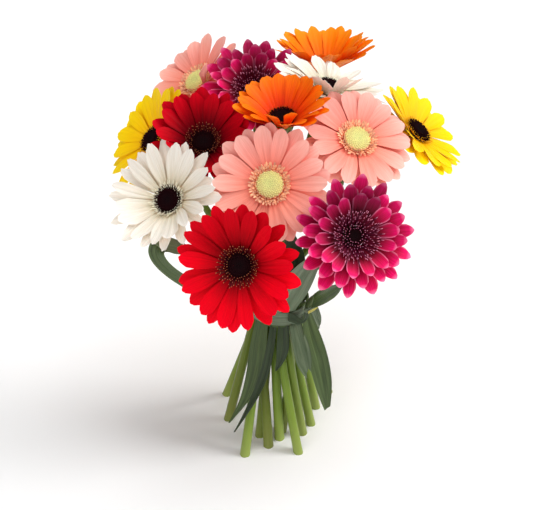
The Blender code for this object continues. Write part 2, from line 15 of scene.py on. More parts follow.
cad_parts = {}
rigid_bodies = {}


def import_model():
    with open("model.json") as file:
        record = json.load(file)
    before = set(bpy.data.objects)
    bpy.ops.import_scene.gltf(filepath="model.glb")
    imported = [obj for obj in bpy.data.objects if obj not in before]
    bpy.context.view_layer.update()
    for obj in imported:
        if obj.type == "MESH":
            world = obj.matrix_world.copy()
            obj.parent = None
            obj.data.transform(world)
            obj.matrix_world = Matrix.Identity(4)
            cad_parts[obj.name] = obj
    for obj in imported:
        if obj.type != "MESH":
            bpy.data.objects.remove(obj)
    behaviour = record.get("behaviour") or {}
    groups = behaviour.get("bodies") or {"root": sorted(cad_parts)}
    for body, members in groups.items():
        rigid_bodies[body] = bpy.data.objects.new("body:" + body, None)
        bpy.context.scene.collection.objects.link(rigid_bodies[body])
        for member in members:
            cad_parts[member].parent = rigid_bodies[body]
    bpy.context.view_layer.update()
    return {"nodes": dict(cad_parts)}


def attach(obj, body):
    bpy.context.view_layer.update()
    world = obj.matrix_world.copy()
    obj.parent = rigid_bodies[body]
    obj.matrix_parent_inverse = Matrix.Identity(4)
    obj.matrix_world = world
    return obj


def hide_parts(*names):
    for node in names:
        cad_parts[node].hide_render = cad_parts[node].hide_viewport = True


for old in list(bpy.data.objects):
    bpy.data.objects.remove(old)

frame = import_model()

MM = 0.001
# Moves the layout so that the origin is under the middle of the part's box
SHIFT = np.array([-8.4, -13.39, 0.0])

# Camera: the photo looks down on the bouquet at 35 degrees
PHOTO_WIDTH = 550
FOCAL_PIXELS = 1667.0
SENSOR_WIDTH = 36.0
CAMERA_ELEVATION = 35.0
CAMERA_DISTANCE = 1450.0
CAMERA_TARGET = (0.0, 0.0, 179.0)

# Lights: azimuth and elevation in degrees, strength, softness in degrees
LIGHTS = {
    "key_light": (8, 75, 1.55, 50),
    "side_light": (3, 33, 1.9, 28),
    "front_light": (246, 26, 1.05, 50),
}
SKY_STRENGTH = 0.27
# From the middle of the floor to its sides, in metres
FLOOR_REACH = 40.0

# Stems, as in the part; corners of one packed ring are no further apart than RING_REACH
WAIST_X, WAIST_Y, WAIST_STATION = 4.0, 0.0, 2
CUT_RADIUS, WAIST_RADIUS, NECK_RADIUS = 4.5, 3.5, 2.7
RING_REACH = 5.5
# Points round a stem, steps between two stations, height over which its colour changes
STEM_ROUND, STEM_FINE, STEM_COLOUR_HEIGHT = 16, 6, 320.0

# Flower heads, as in the part
HUB_RADIUS = 9.4
BAND_HEIGHT, BAND_STEP = 1.1, 0.5
PETAL_STATIONS = (0.0, 0.36, 0.76, 1.0)
TIP_THICKNESS, TIP_WIDTH, TIP_FILL = 0.8, 0.5, 0.9
SHORTENINGS = (1.0, 0.95, 0.88, 0.78, 0.66, 0.5, 0.35)
EXTRA_BENDS = (0, 3, -3, 6, -6, 10, -10, 15, -15, 21, -21, 28, -28, 36, -36, 45, -45, 56)
SINGLE = dict(petals=14, scales=(0.95, 1.0), lifts=(6.0, -2.0), width=13.0)
DOUBLE = dict(petals=14, scales=(0.74, 0.88, 1.0), lifts=(20.0, 8.0, -3.0), width=12.0)
CALYX_TOP, CALYX_DEPTH = 0.3, 13.5
# A packed corner closer than this is the one looked for
MATCH = 0.01

# name: style, centre, heading and tilt of the face, petal reach, cup, sway, sway phase, droop
BLOOMS = {
    "red_front": (SINGLE, (-28, -112, 247), 264, 51, 54, 13, 25, 56, -4),
    "pink_mid": (SINGLE, (-4, -60, 290), 266, 51, 50, 7, 4, 90, -6),
    "magenta_right": (DOUBLE, (63, -88, 259), 284, 50, 51, 8, 6, 90, 0),
    "pink_right": (SINGLE, (67, -14, 304), 300, 30, 48, 8, 6, 90, -12),
    "white_left": (SINGLE, (-86, -54, 271), 243, 50, 53, 20, 14, 285, 4),
    "red_dark": (SINGLE, (-59, -8, 297), 267, 29, 49, 34, 5, 60, 0),
    "orange_mid": (SINGLE, (6, -10, 321), 262, 8, 46, 42, 0, 90, -10),
    "yellow_right": (SINGLE, (121, 40, 279), 352, 37, 48, 12, 9, 90, 0),
    "yellow_left": (SINGLE, (-104, 40, 271), 201, 47, 51, 10, 6, 90, 0),
    "white_back": (SINGLE, (45, 42, 321), 350, 12, 51, 18, 20, 165, -4),
    "magenta_back": (DOUBLE, (-18, 74, 300), 266, 36, 49, 16, 6, 90, 0),
    "pink_back": (SINGLE, (-68, 100, 295), 202, 35, 49, 8, 4, 90, 0),
    "orange_back": (SINGLE, (44, 125, 296), 92, 12, 53, 40, 4, 270, -8),
}

# Petal looks by colour: full width, rounding of the tip, depth of its notch, channel across the
# petal, depth of the lengthwise grooves, spread of the random changes
PETAL_LOOKS = {
    "red": (13.0, 0.17, 0.012, 0.20, 0.34, 1.6),
    "pink": (14.2, 0.16, 0.006, 0.17, 0.28, 1.2),
    "magenta": (12.0, 0.18, 0.008, 0.30, 0.18, 1.5),
    "white": (12.8, 0.26, 0.030, 0.24, 0.42, 2.2),
    "orange": (12.8, 0.19, 0.012, 0.20, 0.34, 1.4),
    "yellow": (14.0, 0.17, 0.012, 0.18, 0.32, 1.3),
}
# Width of a floret, and size of the disc against its profile
HEART_LOOKS = {"pink": (1.6, 1.26), "red": (1.0, 1.10), "magenta": (0.95, 0.92),
               "white": (1.05, 1.04), "orange": (1.0, 1.12), "yellow": (1.05, 1.12)}
# Heads whose petals have a paint of their own
SPECIAL_PETALS = {"red_dark": "dark_red", "orange_back": "bright_orange"}
PETAL_ROWS, PETAL_COLUMNS, PETAL_LINE_STEPS = 20, 10, 60
PETAL_THICKNESS = 0.55

# Rows of small florets round the disc: root radius, count, length, lean from upright in degrees
FRINGES = {
    "pink": ((10.6, 46, 2.6, 30), (11.4, 50, 3.4, 52), (12.0, 54, 4.4, 66),
             (12.4, 56, 6.0, 78)),
    "red": ((8.6, 30, 3.4, 30), (9.2, 34, 5.0, 48), (9.6, 40, 7.0, 62), (9.8, 44, 9.4, 73)),
    "magenta": ((5.4, 18, 4.0, 12), (6.8, 26, 5.2, 24), (8.0, 32, 7.0, 35), (8.8, 38, 9.0, 45),
                (9.2, 42, 11.2, 54), (9.4, 46, 13.6, 62), (9.4, 48, 16.4, 69)),
    "white": ((8.8, 34, 3.0, 30), (9.4, 38, 4.4, 52), (9.7, 42, 6.0, 66), (9.8, 44, 7.6, 76)),
    "orange": ((8.8, 30, 2.6, 28), (9.6, 36, 4.6, 58)),
    "yellow": ((8.8, 30, 2.4, 28), (9.6, 36, 4.2, 58), (9.8, 38, 5.6, 74)),
}
# Rows of dark florets further in, painted like the disc, on all but the pink flowers
DARK_FRINGE = ((6.8, 30, 2.4, 24), (8.2, 38, 3.2, 46), (9.2, 44, 4.0, 62))
FLORET_THICKNESS = 0.4
# Share of the full width from root to tip
FLORET_PROFILE = ((0.0, 0.5), (0.45, 0.55), (0.72, 1.0), (0.9, 0.85), (1.0, 0.35))
# Florets rise this many degrees above the petals, and no steeper than STEEPEST_FLORET
FLORET_CLEARANCE, STEEPEST_FLORET = 14.0, 88.0

# Radius and height of the disc from its rim to its middle
DISC_PROFILE = ((8.9, 0.9), (8.8, 1.7), (8.1, 2.8), (6.6, 3.7), (4.6, 4.4), (2.6, 4.5),
                (1.0, 4.2))
DISC_ROUND = 28
# Buds of the disc stand in a spiral out to BUD_FIELD; their profile is width and height
DISC_BUDS, BUD_FIELD, BUD_ROUND = 150, 8.3, 6
BUD_PROFILE = ((0.75, 0.0), (1.0, 0.5), (0.75, 0.85), (0.3, 1.05))
GOLDEN_ANGLE = math.pi * (3 - math.sqrt(5))

# Cup of bracts: height above the neck and radius; rows of bracts: height, count, length
CUP_PROFILE = ((1.5, 3.2), (3.0, 4.6), (5.0, 6.2), (7.5, 7.6), (10.0, 8.7), (12.2, 9.2),
               (13.4, 9.1), (13.8, 8.4))
BRACT_ROWS = ((0.8, 8, 8.0), (2.6, 11, 9.0), (4.6, 14, 9.4))
BRACT_PROFILE = ((0.0, 0.7), (0.3, 1.0), (0.65, 0.75), (1.0, 0.06))
BRACT_THICKNESS, BRACT_BEND, BRACT_DISH = 0.5, 0.42, -0.18
# The bracts of a row share out a circle of this radius and overlap a little
BRACT_RING, BRACT_OVERLAP = 8.2, 1.05

# Tie, as in the part
TIE_LOW, TIE_HIGH = 120.0, 136.0
KNOT_HEIGHT, KNOT_AZIMUTH = 131.0, 305.0
# Turns of the tie: bottom, top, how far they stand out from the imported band, tone
TIE_TURNS = ((TIE_LOW + 0.1, TIE_HIGH - 0.1, -0.75, 0.2), (121.8, 134.6, -0.1, 0.7))
TIE_ROWS, TIE_ROUND = 9, 96
TIE_THICKNESS, TIE_RIBS, TIE_RIB_HEIGHT = 0.55, 4, 0.10

# Random seeds; each flower adds its number to the first three
STEM_SEED, DISC_SEED, PETAL_SEED, KNOT_SEED = 100, 200, 300, 400

# Petal paints: stops along the petal as place, red, green, blue, then the colours of the
# underside, of the veins and, on one, of a painted highlight along the edges and tip
PETAL_PAINTS = {
    "red": dict(
        stops=((0, 96, 0, 8), (0.25, 172, 0, 14), (0.6, 226, 0, 22), (1, 238, 0, 28)),
        underside=(200, 10, 40), vein=(140, 0, 12), glow=0.06, tone_range=0.62, hue_spread=0.0,
        gloss=0.04),
    "dark_red": dict(
        stops=((0, 52, 0, 8), (0.3, 120, 0, 14), (0.7, 188, 0, 20), (1, 212, 0, 26)),
        underside=(176, 34, 60), vein=(96, 0, 12), glow=0.06, tone_range=0.42, hue_spread=0.0,
        gloss=0.04),
    "pink": dict(
        stops=((0, 240, 106, 84), (0.3, 252, 142, 124), (0.65, 255, 164, 150),
               (1, 255, 186, 174)),
        underside=(252, 172, 160), vein=(240, 116, 98), glow=0.15, tone_range=0.12, veins=0.32),
    "magenta": dict(
        stops=((0, 50, 0, 12), (0.42, 116, 0, 32), (0.72, 194, 0, 72), (1, 244, 6, 112)),
        underside=(206, 30, 98), vein=(100, 0, 28), glow=0.08, tone_range=1.4,
        edge=(255, 140, 184)),
    "white": dict(
        stops=((0, 196, 178, 136), (0.2, 232, 220, 196), (0.5, 245, 236, 223),
               (1, 249, 242, 233)),
        underside=(248, 234, 216), vein=(212, 192, 162), glow=0.12, tone_range=0.06,
        hue_spread=0.002, veins=0.55),
    "orange": dict(
        stops=((0, 226, 46, 0), (0.3, 246, 72, 0), (0.7, 255, 106, 0), (1, 255, 128, 6)),
        underside=(246, 112, 22), vein=(214, 46, 0), glow=0.1, tone_range=0.16, veins=0.55),
    "bright_orange": dict(
        stops=((0, 214, 66, 0), (0.3, 250, 102, 0), (0.7, 255, 128, 0), (1, 255, 146, 18)),
        underside=(250, 130, 30), vein=(236, 78, 0), glow=0.1, tone_range=0.12, veins=0.45),
    "yellow": dict(
        stops=((0, 226, 148, 0), (0.25, 252, 190, 0), (0.65, 255, 206, 0), (1, 255, 217, 4)),
        underside=(248, 216, 20), vein=(236, 176, 0), glow=0.1, tone_range=0.12, veins=0.35),
}
# A petal is brighter the more its tone is over this, up to the cap, and darker under it; the
# upper petals get a low tone, so this is painted shade on them, over a random tone
PETAL_MIDDLE_TONE, BRIGHTER_CAP = 0.6, 0.12
# Floret paints: colours of root and tip, and where along the floret the tip starts
FLORET_PAINTS = {
    "pink": ((238, 128, 86), (252, 184, 146), 0.4),
    "red": ((84, 0, 8), (206, 128, 88), 0.9),
    "magenta": ((92, 0, 34), (240, 146, 180), 0.84),
    "white": ((104, 82, 52), (240, 232, 208), 0.42),
    "orange": ((64, 16, 4), (206, 84, 16), 0.5),
    "yellow": ((120, 60, 8), (232, 172, 20), 0.45),
}
# Disc paints: colours of the middle and of the rim
DISC_PAINTS = {
    "pale_disc": ((220, 222, 146), (240, 226, 158)),
    "dark_disc": ((14, 3, 5), (38, 5, 11)),
}
# Leaf paints: name, darker and lighter colour of the outer side, colour of the inner side
LEAF_PAINTS = {
    "strap_leaf": ("strap_leaf_green", (56, 72, 38), (88, 106, 62), (112, 124, 92)),
    "pale_leaf": ("pale_leaf_green", (86, 102, 76), (122, 134, 110), (136, 146, 124)),
    "dark_leaf": ("dark_leaf_green", (34, 48, 26), (58, 74, 44), (74, 88, 60)),
    "dry_leaf": ("dry_leaf_tip", (150, 142, 60), (206, 196, 96), (206, 196, 96)),
}
FLOOR_WHITE = (250, 250, 250)
# How far red, green and blue light spread inside a piece
GLOW_SPREAD = (1.0, 0.5, 0.4)


def radians(*angles):
    return [math.radians(a) for a in angles]


def colour(red, green, blue):
    """A colour given as it looks on screen, from 0 to 255, turned into linear light."""
    return tuple((c / 255 / 12.92 if c <= 10 else ((c / 255 + 0.055) / 1.055) ** 2.4)
                 for c in (red, green, blue)) + (1.0,)


def head_frame(bloom):
    """(centre, right, up, normal) of a flower's face."""
    h, t = radians(bloom[2], bloom[3])
    flat, z = np.array([math.cos(h), math.sin(h), 0.0]), np.array([0.0, 0.0, 1.0])
    up, normal = turned(t, -flat, z), turned(t, z, flat)
    return np.array(bloom[1], float), np.cross(up, normal), up, normal


def turned(angle, first, second):
    """The first direction, turned by the angle towards the second."""
    return math.cos(angle) * first + math.sin(angle) * second


def put(name, data):
    obj = bpy.data.objects.new(name, data)
    bpy.context.scene.collection.objects.link(obj)
    return obj


# Camera, light and floor
def build_camera():
    data = bpy.data.cameras.new("photo_camera")
    data.sensor_width = SENSOR_WIDTH
    data.lens = FOCAL_PIXELS / PHOTO_WIDTH * SENSOR_WIDTH
    camera = put("photo_camera", data)
    elevation = math.radians(CAMERA_ELEVATION)
    away = np.array([0.0, -math.cos(elevation), math.sin(elevation)]) * CAMERA_DISTANCE
    camera.location = Vector((np.array(CAMERA_TARGET) + SHIFT + away) * MM)
    camera.rotation_euler = (math.radians(90 - CAMERA_ELEVATION), 0, 0)
    bpy.context.scene.camera = camera


def build_lights():
    for name, (azimuth, elevation, strength, softness) in LIGHTS.items():
        data = bpy.data.lights.new(name, "SUN")
        data.energy, data.angle = strength, math.radians(softness)
        lamp = put(name, data)
        a, e = radians(azimuth, elevation)
        toward = Vector((math.cos(e) * math.cos(a), math.cos(e) * math.sin(a), math.sin(e)))
        lamp.rotation_euler = toward.to_track_quat("Z", "Y").to_euler()
        lamp.location = toward


def build_floor():
    mesh = bpy.data.meshes.new("floor")
    corners = [(x * FLOOR_REACH, y * FLOOR_REACH, 0)
               for x, y in ((-1, -1), (1, -1), (1, 1), (-1, 1))]
    mesh.from_pydata(corners, [], [(0, 1, 2, 3)])
    floor = put("floor", mesh)
    white = Paint("floor_white").finish(colour(*FLOOR_WHITE), rough=0.6, specular=0.1)
    mesh.materials.append(white)


def build_studio():
    world = bpy.data.worlds.new("studio")
    world.use_nodes = True
    background = world.node_tree.nodes["Background"]
    background.inputs["Color"].default_value = (1, 1, 1, 1)
    background.inputs["Strength"].default_value = SKY_STRENGTH
    bpy.context.scene.world = world
    settings = bpy.context.scene.view_settings
    settings.view_transform = "Standard"
    settings.look = "None"
    build_lights()
    build_floor()


# Materials
class Paint:
    """A node material under way."""

    def __init__(self, name):
        self.material = bpy.data.materials.new(name)
        self.material.use_nodes = True
        self.nodes = self.material.node_tree.nodes
        self.links = self.material.node_tree.links
        self.shader = self.nodes["Principled BSDF"]

    def set(self, socket, value):
        if isinstance(value, bpy.types.NodeSocket):
            self.links.new(value, socket)
        else:
            socket.default_value = value

    def node(self, kind, inputs=(), **settings):
        made = self.nodes.new("ShaderNode" + kind)
        for key, value in settings.items():
            setattr(made, key, value)
        for key, value in dict(inputs).items():
            self.set(made.inputs[key], value)
        return made

    def maps(self):
        """The values that a mesh carries: across, along, tone and side."""
        values = []
        for name in ("petal", "tone"):
            parts = self.node("SeparateXYZ", {0: self.node("UVMap", uv_map=name).outputs[0]})
            values += parts.outputs[:2]
        return values

    def math(self, operation, first, second=0.0):
        return self.node("Math", {0: first, 1: second}, operation=operation).outputs[0]

    def times(self, first, second):
        return self.math("MULTIPLY", first, second)

    def noise(self, place, scale, detail, rough):
        return self.node("TexNoise", {"Vector": place, "Scale": scale, "Detail": detail,
                                      "Roughness": rough}).outputs[0]

    def streaks(self, values, stretch, scale, detail, rough):
        """Noise over (across, along, tone), each multiplied by its own stretch."""
        axes = [self.times(value, size) for value, size in zip(values, stretch)]
        place = self.node("CombineXYZ", enumerate(axes)).outputs[0]
        return self.noise(place, scale, detail, rough)

    def grain(self, scale, detail=2.0):
        """Fine noise in the space of the object."""
        return self.noise(self.node("TexCoord").outputs["Object"], scale, detail, 0.6)

    def span(self, value, low, high, start, end):
        """The value mapped from low to high onto start to end."""
        return self.node("MapRange", {0: value, 1: low, 2: high, 3: start, 4: end}).outputs[0]

    def ramp(self, value, stops):
        """Colour at the value; each stop is a place, then red, green and blue."""
        made = self.node("ValToRGB", {0: value})
        points = made.color_ramp.elements
        while len(points) < len(stops):
            points.new(0.5)
        for point, (place, *tint) in zip(points, stops):
            point.position, point.color = place, colour(*tint)
        return made.outputs[0]

    def mix(self, share, first, second):
        return self.node("Mix", {0: share, 6: first, 7: second}, data_type="RGBA").outputs[2]

    def vary(self, tint, hue, saturation, value):
        return self.node("HueSaturation", {"Hue": hue, "Saturation": saturation,
                                           "Value": value, "Color": tint}).outputs[0]

    def bump(self, height, strength, distance):
        made = self.node("Bump", {"Height": height, "Strength": strength,
                                  "Distance": distance * MM})
        self.set(self.shader.inputs["Normal"], made.outputs[0])

    def finish(self, tint, rough, specular, sheen=0.0, glow=0.0, glow_size=1.0):
        values = {"Base Color": tint, "Roughness": rough, "Specular IOR Level": specular,
                  "Sheen Weight": sheen, "Subsurface Weight": glow,
                  "Subsurface Radius": GLOW_SPREAD, "Subsurface Scale": glow_size * MM}
        for key, value in values.items():
            self.set(self.shader.inputs[key], value)
        return self.material


def petal_material(name, stops, underside, vein, glow, tone_range, hue_spread=0.003,
                   veins=0.3, edge=None, gloss=0.12):
    """Petal colour root to tip, with fine lengthwise veins, random tone and painted shade."""
    p = Paint(name)
    across, along, tone, side = p.maps()
    streaks = p.streaks((across, along, tone), (11, 0.9, 37), 1.6, 3, 0.55)
    tint = p.ramp(p.math("ADD", along, p.span(streaks, 0.3, 0.7, -0.07, 0.07)), stops)
    fine = p.streaks((across, along, tone), (46, 1.6, 91), 1, 2, 0.5)
    lines = p.span(fine, 0.38, 0.58, 1, 0)
    fade = p.span(along, 0.1, 1, 1, 0.35)
    tint = p.mix(p.times(p.times(lines, veins), fade), tint, colour(*vein))
    # Painted highlight: paler pink along the sides and near the tip of the magenta petals
    if edge:
        aside = p.math("ABSOLUTE", p.math("SUBTRACT", across, 0.5))
        rim = p.math("MAXIMUM", p.span(aside, 0.38, 0.5, 0, 1),
                     p.span(along, 0.90, 1, 0, 1))
        tint = p.mix(p.times(p.times(rim, along), 0.75), tint, colour(*edge))
    tint = p.mix(p.times(side, 0.75), tint, colour(*underside))
    # Painted shade: upper petals get a lower tone and come out darker; the rest of the tone is
    # random
    brighter = p.times(p.math("SUBTRACT", tone, PETAL_MIDDLE_TONE), tone_range)
    value = p.math("ADD", p.span(streaks, 0.25, 0.75, 0.93, 1.05),
                   p.math("MINIMUM", brighter, BRIGHTER_CAP))
    hue = p.span(tone, 0, 1, 0.5 - hue_spread, 0.5 + hue_spread)
    tint = p.vary(tint, hue, 1, value)
    p.bump(fine, 0.4, 0.14)
    rough = p.span(streaks, 0.2, 0.8, 0.46, 0.62)
    return p.finish(tint, rough, gloss, glow=glow, glow_size=2.2)


def floret_material(name, root, tip, tip_start):
    """Small florets: root colour, then a paler tip from tip_start on."""
    p = Paint(name)
    _, along, tone, _ = p.maps()
    tint = p.ramp(along, ((0, *root), (tip_start, *root), (min(0.99, tip_start + 0.2), *tip)))
    tint = p.vary(tint, p.span(tone, 0, 1, 0.49, 0.51), 1, p.span(tone, 0, 1, 0.72, 1.18))
    return p.finish(tint, 0.55, 0.15, glow=0.1)


def disc_material(name, middle, rim):
    """Crowded buds of the disc, with a colour that runs from the middle to the rim."""
    p = Paint(name)
    _, outward, tone, _ = p.maps()
    grain = p.grain(900.0)
    tint = p.mix(outward, colour(*middle), colour(*rim))
    value = p.math("ADD", p.span(grain, 0.3, 0.7, 0.8, 1.05), p.times(tone, 0.14))
    tint = p.vary(tint, p.span(tone, 0, 1, 0.49, 0.51), 1, value)
    p.bump(grain, 0.5, 0.15)
    return p.finish(tint, 0.8, 0.08)


def stem_material():
    """Soft green stem, paler and yellower low down, with long faint streaks."""
    p = Paint("stem_green")
    around, height, tone, _ = p.maps()
    streaks = p.streaks((around, height, tone), (9, 1.5, 53), 1.5, 4, 0.6)
    tint = p.ramp(height, ((0, 146, 158, 78), (0.10, 116, 136, 42), (0.32, 94, 120, 28),
                           (0.62, 70, 98, 26), (1.0, 84, 110, 42)))
    tint = p.mix(p.span(streaks, 0.35, 0.7, 0, 0.4), tint, colour(138, 154, 62))
    tint = p.vary(tint, p.span(tone, 0, 1, 0.485, 0.51), 1, p.span(tone, 0, 1, 0.62, 1.12))
    p.bump(p.math("ADD", streaks, p.times(p.grain(1400.0), 0.4)), 0.4, 0.2)
    rough = p.span(streaks, 0.2, 0.8, 0.38, 0.55)
    return p.finish(tint, rough, 0.3, sheen=0.05, glow=0.1, glow_size=1.5)


def cut_material():
    """Pale pith of a cut stem end, with dark pores."""
    p = Paint("cut_end")
    pores = p.grain(700.0, 3.0)
    tint = p.ramp(pores, ((0.3, 150, 160, 100), (0.7, 214, 216, 168)))
    p.bump(pores, 0.5, 0.3)
    return p.finish(tint, 0.6, 0.3)


def bract_material():
    """Green bract with fine lines and a brown tip."""
    p = Paint("bract_green")
    across, along, tone, _ = p.maps()
    lines = p.streaks((across, along, tone), (14, 1, 31), 1.5, 3, 0.6)
    tint = p.ramp(along, ((0, 86, 112, 54), (0.7, 104, 130, 66), (1, 120, 96, 70)))
    tint = p.vary(tint, p.span(tone, 0, 1, 0.485, 0.515), 1, p.span(lines, 0.3, 0.7, 0.8, 1.1))
    p.bump(lines, 0.4, 0.2)
    return p.finish(tint, 0.55, 0.3, sheen=0.15, glow=0.08)


def leaf_material(name, dark, light, underside):
    """Strap leaf with close parallel veins; the side that faces inwards is paler."""
    p = Paint(name)
    across, along, tone, side = p.maps()
    broad = p.streaks((across, along, tone), (5, 1.2, 17), 1.5, 3, 0.55)
    veins = p.streaks((across, along, tone), (60, 0.8, 17), 1, 2, 0.5)
    tint = p.mix(p.span(broad, 0.3, 0.7, 0, 1), colour(*dark), colour(*light))
    tint = p.mix(side, tint, colour(*underside))
    # A low tone paints a leaf darker and more saturated; on leaf_inner this is painted shade
    shade = p.times(p.span(veins, 0.35, 0.65, 0.72, 1.2), p.span(tone, 0, 0.5, 0.55, 1))
    tint = p.vary(tint, 0.5, p.span(tone, 0, 0.5, 1.35, 1), shade)
    p.bump(veins, 0.6, 0.3)
    return p.finish(tint, p.span(veins, 0.3, 0.7, 0.36, 0.52), 0.32, glow=0.04)


def build_materials():
    made = {"stem": stem_material(), "cut": cut_material(), "bract": bract_material()}
    for kind, look in PETAL_PAINTS.items():
        made[kind] = petal_material(kind + "_petal", **look)
    for kind, look in FLORET_PAINTS.items():
        made[kind + "_floret"] = floret_material(kind + "_floret", *look)
    for kind, look in DISC_PAINTS.items():
        made[kind] = disc_material(kind + "_buds", *look)
    for kind, look in LEAF_PAINTS.items():
        made[kind] = leaf_material(*look)
    return made


# Mesh building
class Build:
    """Closed shells gathered into one mesh, each with its place along and across, and its tone."""

    def __init__(self):
        self.points, self.faces, self.places, self.tones, self.slots = [], [], [], [], []
        self.count = 0

    def add(self, points, faces, places, tones, slot):
        self.points.append(points)
        self.places.append(places)
        self.tones.append(tones)
        self.faces.extend((faces + self.count).tolist())
        self.slots.extend([slot] * len(faces))
        self.count += len(points)

    def shell(self, top, bottom, across, along, tone, slot=0, under=1.0):
        """A thin closed sheet between two grids; under is its bottom's share of underside."""
        rows, columns = top.shape[:2]
        size = rows * columns
        index = np.arange(size).reshape(rows, columns)
        a, b = index[:-1, :-1].ravel(), index[:-1, 1:].ravel()
        c, d = index[1:, 1:].ravel(), index[1:, :-1].ravel()
        faces = [np.stack([a, b, c, d], 1), np.stack([d, c, b, a], 1) + size]
        rim = np.concatenate([index[0, :-1], index[:-1, -1], index[-1, :0:-1],
                              index[:0:-1, 0]])
        after = np.roll(rim, -1)
        faces.append(np.stack([after, rim, rim + size, after + size], 1))
        places = np.stack([across.ravel(), along.ravel()], 1)
        tones = np.zeros((size * 2, 2))
        tones[:, 0] = tone
        tones[size:, 1] = under
        self.add(np.concatenate([top.reshape(-1, 3), bottom.reshape(-1, 3)]),
                 np.concatenate(faces), np.concatenate([places, places]), tones, slot)

    def tube(self, rings, along, tone, slots=(0, 0, 0)):
        """A closed tube through rings of points; slots are those of the wall and its two ends."""
        rings = np.asarray(rings)
        rows, columns = rings.shape[:2]
        index = np.arange(rows * columns).reshape(rows, columns)
        nxt = np.roll(index, -1, axis=1)
        faces = np.stack([index[:-1].ravel(), nxt[:-1].ravel(), nxt[1:].ravel(),
                          index[1:].ravel()], 1)
        turn = np.abs(np.arange(columns) * 2.0 / columns - 1.0)
        places = np.stack([np.tile(turn, rows), np.repeat(along, columns)], 1)
        tones = np.tile([tone, 0.0], (rows * columns, 1))
        start = self.count
        self.add(rings.reshape(-1, 3), faces, places, tones, slots[0])
        for ring, slot in ((index[0, ::-1], slots[1]), (index[-1], slots[2])):
            middle = rings.reshape(-1, 3)[ring].mean(axis=0)[None]
            place = along[0] if slot == slots[1] else along[-1]
            fan = np.stack([ring, np.roll(ring, -1), np.full(columns, self.count - start)], 1)
            self.add(middle, fan + start - self.count, np.array([[0.5, place]]),
                     np.array([[tone, 0.0]]), slot)

    def make(self, name, materials, node, sharp=60):
        """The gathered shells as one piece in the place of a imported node."""
        points = (np.concatenate(self.points) + SHIFT) * MM
        mesh = bpy.data.meshes.new(name)
        mesh.from_pydata(points.tolist(), [], self.faces)
        mesh.polygons.foreach_set("material_index", self.slots)
        mesh.shade_smooth()
        corners = np.empty(len(mesh.loops), np.int32)
        mesh.loops.foreach_get("vertex_index", corners)
        for layer, values in (("petal", self.places), ("tone", self.tones)):
            uv = mesh.uv_layers.new(name=layer, do_init=False)
            spread = np.concatenate(values)[corners].astype(np.float32)
            uv.uv.foreach_set("vector", spread.ravel())
        mesh.set_sharp_from_angle(angle=math.radians(sharp))
        mesh.update()
        for material in materials:
            mesh.materials.append(material)
        obj = put(name, mesh)
        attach(obj, "root")
        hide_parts(node)


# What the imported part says
def cad_points(node):
    """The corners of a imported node, in the bouquet's layout."""
    mesh = frame["nodes"][node].data
    flat = np.empty(3 * len(mesh.vertices), np.float32)
    mesh.vertices.foreach_get("co", flat)
    return np.unique(np.round(flat.reshape(-1, 3).astype(float) / MM - SHIFT, 3), axis=0)


def hub_depth(style):
    layers = len(style["scales"])
    return layers * BAND_HEIGHT + (layers - 1) * BAND_STEP


def neck_of(bloom):
    """Where the stem meets the cup of bracts, and the direction that the face looks in."""
    centre, _, _, normal = head_frame(bloom)
    return centre - normal * (hub_depth(bloom[0]) + CALYX_TOP + CALYX_DEPTH), normal


def stem_stations(name, bloom):
    """Ring centres of a packed stem, from the cut end to the neck."""
    neck, normal = neck_of(bloom)
    points = cad_points(name + "_stem")
    points = points[(points - neck) @ normal < 1.0]
    left = list(range(len(points)))
    rings = []
    while left:
        group, queue = [], [left.pop()]
        while queue:
            here = queue.pop()
            group.append(here)
            close = [k for k in left if np.linalg.norm(points[k] - points[here]) < RING_REACH]
            left = [k for k in left if k not in close]
            queue += close
        rings.append(points[group].mean(axis=0))
    return np.array(sorted(rings, key=lambda p: p[2]))


def lift_at(bloom, azimuth, layer):
    """How far the petals at this azimuth rise above the face, in degrees."""
    style, cup, sway, phase = bloom[0], bloom[5], bloom[6], bloom[7]
    return cup + style["lifts"][layer] + sway * math.cos(azimuth - math.radians(phase))


def petal_line(bloom, layer, azimuth, extra, shorten, stations, curl=0.0):
    """Radius, height and slope of a petal's middle line at each station."""
    style, reach, droop = bloom[0], bloom[4], bloom[8]
    pitch = math.pi / style["petals"]
    length = (reach * style["scales"][layer] - HUB_RADIUS) * shorten
    first = math.radians(lift_at(bloom, azimuth, layer) + extra)
    bend, curl = radians(droop, curl)
    radius = HUB_RADIUS * math.cos(pitch / 2)
    height = -layer * (BAND_HEIGHT + BAND_STEP) - BAND_HEIGHT / 2
    line, previous = [], 0.0
    for station in stations:
        middle = (station + previous) / 2
        angle = first + bend * middle + curl * middle**3
        radius += math.cos(angle) * length * (station - previous)
        height += math.sin(angle) * length * (station - previous)
        previous = station
        line.append((radius, height, first + bend * station + curl * station**3))
    return np.array(line), length


def tip_corner(bloom, layer, column, extra, shorten):
    """One corner of a packed petal's tip."""
    style = bloom[0]
    centre, right, up, normal = head_frame(bloom)
    pitch = math.pi / style["petals"]
    azimuth = column * pitch
    outward, across = turned(azimuth, right, up), turned(azimuth, up, -right)
    line, _ = petal_line(bloom, layer, azimuth, extra, shorten, PETAL_STATIONS)
    radius, height, slope = line[-1]
    half = min(style["width"] * TIP_WIDTH / 2, math.tan(pitch * TIP_FILL) * radius)
    over = turned(slope, normal, -outward)
    return centre + outward * radius + normal * height - across * half \
        - over * TIP_THICKNESS / 2


def bends():
    """Every (extra bend, shortening) that the part can give a petal, mildest first."""
    tries = [(abs(extra) / 9 + (1 - shorten) * 8, extra, shorten)
             for shorten in SHORTENINGS for extra in EXTRA_BENDS]
    return [(extra, shorten) for _, extra, shorten in sorted(tries)]


